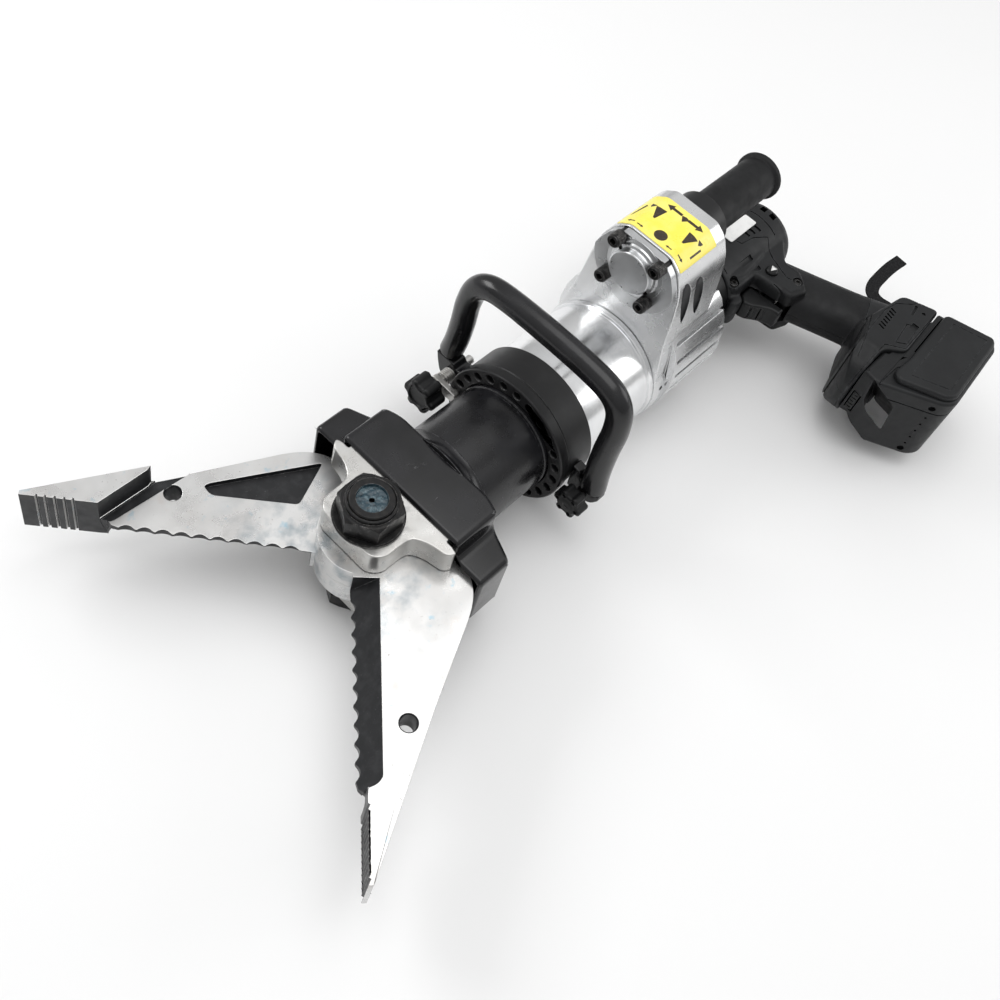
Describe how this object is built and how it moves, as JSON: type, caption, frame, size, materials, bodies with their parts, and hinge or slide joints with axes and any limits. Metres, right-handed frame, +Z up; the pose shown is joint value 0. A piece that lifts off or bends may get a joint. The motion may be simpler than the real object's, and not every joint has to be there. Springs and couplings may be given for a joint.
{
  "type": "rescue cutter",
  "caption": "Battery-powered hydraulic rescue cutter: scalloped cutting and spreading blades on a pivot, piston cylinder, swivelling carry handle, twist control grip and cordless drive unit.",
  "frame": {"origin": "bottom centre of the whole tool's box, with the blades open", "axes": "+X forward along the cylinder to the blade tips, +Y towards the battery, +Z up, away from the surface the tool lies on"},
  "size_m": [0.6448, 0.3508, 0.1755],
  "materials": {
    "blade_steel": "ground, bright",
    "satin_steel": "satin",
    "dark_steel": "blackened, satin",
    "black_coating": "semi-gloss black coating",
    "aluminium": "machined",
    "black_grip": "satin black",
    "black_plastic": "fine moulded texture",
    "rubber": "matte",
    "copper": "wound copper and nickel",
    "yellow_label": "printed film",
    "pale_plate": "blank film",
    "webbing": "woven webbing"
  },
  "bodies": {
    "tool_body": {"yoke_fork": "satin_steel", "head_shroud": "black_coating", "pivot_bolt": "dark_steel", "pivot_washer": "dark_steel", "pivot_nut": "dark_steel", "cylinder_barrel": "black_coating", "cylinder_gland": "aluminium", "index_ring": "black_coating", "front_cylinder": "aluminium", "pump_housing": "aluminium", "housing_rear_plate": "aluminium", "valve_cover": "aluminium", "valve_cover_screw_1": "dark_steel", "valve_cover_screw_2": "dark_steel", "valve_cover_screw_3": "dark_steel", "valve_cover_screw_4": "dark_steel", "grip_collar": "black_coating", "control_label": "yellow_label", "reservoir_bladder": "rubber", "shell_right": "black_plastic", "shell_left": "black_plastic", "shell_screw_1": "dark_steel", "shell_screw_2": "dark_steel", "drive_nose": "black_plastic", "motor_stator": "copper", "name_plate": "pale_plate", "trigger_spring": "satin_steel", "wrist_strap": "webbing"},
    "blade_left": {"blade_left": "blade_steel", "link_pin_left": "satin_steel"},
    "blade_right": {"blade_right": "blade_steel", "link_pin_right": "satin_steel"},
    "link_left": {"link_left": "dark_steel"},
    "link_right": {"link_right": "dark_steel"},
    "ram": {"crosshead": "dark_steel", "crosshead_pin": "satin_steel", "piston_rod": "satin_steel", "piston": "aluminium", "piston_seal": "rubber"},
    "handle": {"handle_collar": "black_coating", "carry_handle": "black_coating", "handle_bracket_left": "black_coating", "handle_bracket_right": "black_coating", "index_spring": "satin_steel"},
    "index_plunger": {"index_pawl": "satin_steel", "index_knob": "black_plastic"},
    "clamp_knob": {"clamp_knob": "black_plastic"},
    "twist_grip": {"twist_grip": "black_grip", "valve_spool": "satin_steel"},
    "drive_train": {"pump_rotor": "satin_steel", "gear_carrier": "satin_steel"},
    "rotor": {"motor_rotor": "satin_steel", "cooling_fan": "black_plastic"},
    "trigger": {"trigger": "black_plastic"},
    "direction_button": {"direction_button": "black_plastic"},
    "battery": {"battery_case": "black_plastic", "battery_lid": "black_plastic", "battery_cells": "copper"},
    "release_button": {"battery_release_button": "black_plastic"}
  },
  "joints": [
    {"name": "blade_left_pivot", "type": "hinge", "parent": "tool_body", "child": "blade_left", "pos_m": [0.18513, -0.02456, 0.051], "axis": [0, 0, 1], "range_deg": [0, 47.4]},
    {"name": "blade_right_pivot", "type": "hinge", "parent": "tool_body", "child": "blade_right", "pos_m": [0.18513, -0.02456, 0.051], "axis": [0, 0, 1], "range_deg": [-47.5, 0.1]},
    {"name": "link_left_pivot", "type": "hinge", "parent": "blade_left", "child": "link_left", "pos_m": [0.15276, -0.04447, 0.051], "axis": [0, 0, 1], "range_deg": [-73, 0.1]},
    {"name": "link_right_pivot", "type": "hinge", "parent": "blade_right", "child": "link_right", "pos_m": [0.15276, -0.00465, 0.051], "axis": [0, 0, 1], "range_deg": [-0.1, 73]},
    {"name": "ram_slide", "type": "slide", "parent": "tool_body", "child": "ram", "axis": [1, 0, 0], "range_m": [-0.0002, 0.0384]},
    {"name": "handle_swivel", "type": "hinge", "parent": "tool_body", "child": "handle", "pos_m": [0.04013, -0.02456, 0.051], "axis": [1, 0, 0], "continuous": true},
    {"name": "index_knob_pull", "type": "slide", "parent": "handle", "child": "index_plunger", "axis": [1, 0, 0], "range_m": [0, 0.0085], "stiffness_N_per_m": 600, "deforming": ["index_spring"]},
    {"name": "clamp_knob_turn", "type": "hinge", "parent": "handle", "child": "clamp_knob", "pos_m": [0.05513, 0.03774, 0.045], "axis": [1, 0, 0], "continuous": true},
    {"name": "twist_grip_turn", "type": "hinge", "parent": "tool_body", "child": "twist_grip", "pos_m": [-0.13987, -0.02456, 0.1525], "axis": [1, 0, 0], "range_deg": [-30, 30], "stiffness_Nm_per_rad": 1.5},
    {"name": "drive_train_spin", "type": "hinge", "parent": "tool_body", "child": "drive_train", "pos_m": [-0.13487, -0.02456, 0.051], "axis": [1, 0, 0], "continuous": true},
    {"name": "rotor_spin", "type": "hinge", "parent": "tool_body", "child": "rotor", "pos_m": [-0.19487, -0.02456, 0.051], "axis": [1, 0, 0], "continuous": true},
    {"name": "trigger_pull", "type": "slide", "parent": "tool_body", "child": "trigger", "axis": [-1, 0, 0], "range_m": [0, 0.007], "stiffness_N_per_m": 900, "deforming": ["trigger_spring"]},
    {"name": "direction_shift", "type": "slide", "parent": "tool_body", "child": "direction_button", "axis": [0, 0, 1], "range_m": [-0.0025, 0.0025]},
    {"name": "battery_slide_off", "type": "slide", "parent": "tool_body", "child": "battery", "axis": [0.9972, 0.0748, 0], "range_m": [0, 0.11]},
    {"name": "release_button_press", "type": "slide", "parent": "battery", "child": "release_button", "axis": [-1, 0, 0], "range_m": [0, 0.003], "stiffness_N_per_m": 500}
  ],
  "couplings": [
    {"joint": "blade_right_pivot", "follows": "blade_left_pivot", "ratio": -1},
    {"joint": "link_left_pivot", "follows": "blade_left_pivot", "ratio": -1.5264},
    {"joint": "link_right_pivot", "follows": "blade_left_pivot", "ratio": 1.5264},
    {"joint": "ram_slide", "follows": "blade_left_pivot", "m_per_rad": 0.046006},
    {"joint": "rotor_spin", "follows": "drive_train_spin", "ratio": 8}
  ]
}
